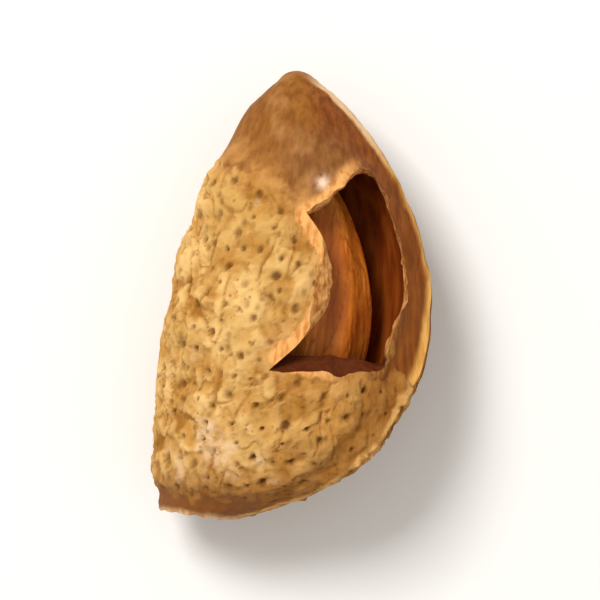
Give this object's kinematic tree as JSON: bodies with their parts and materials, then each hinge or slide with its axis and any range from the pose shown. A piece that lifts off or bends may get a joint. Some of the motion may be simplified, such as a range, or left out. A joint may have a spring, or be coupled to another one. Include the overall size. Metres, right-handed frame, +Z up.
{
  "type": "almond in its shell",
  "caption": "Almond in a pitted, keeled shell that is broken open at one side, with the wrinkled kernel lying inside.",
  "frame": {"origin": "middle of the small flat spot that the nut lies on", "axes": "+Y along the nut to its apex, +X to the keel where the shell's halves meet, +Z up through the broken side"},
  "size_m": [0.0187, 0.0318, 0.0141],
  "materials": {
    "shell": "matte",
    "kernel_skin": "satin"
  },
  "bodies": {
    "root": {"shell": "shell", "kernel": "kernel_skin"}
  },
  "joints": []
}
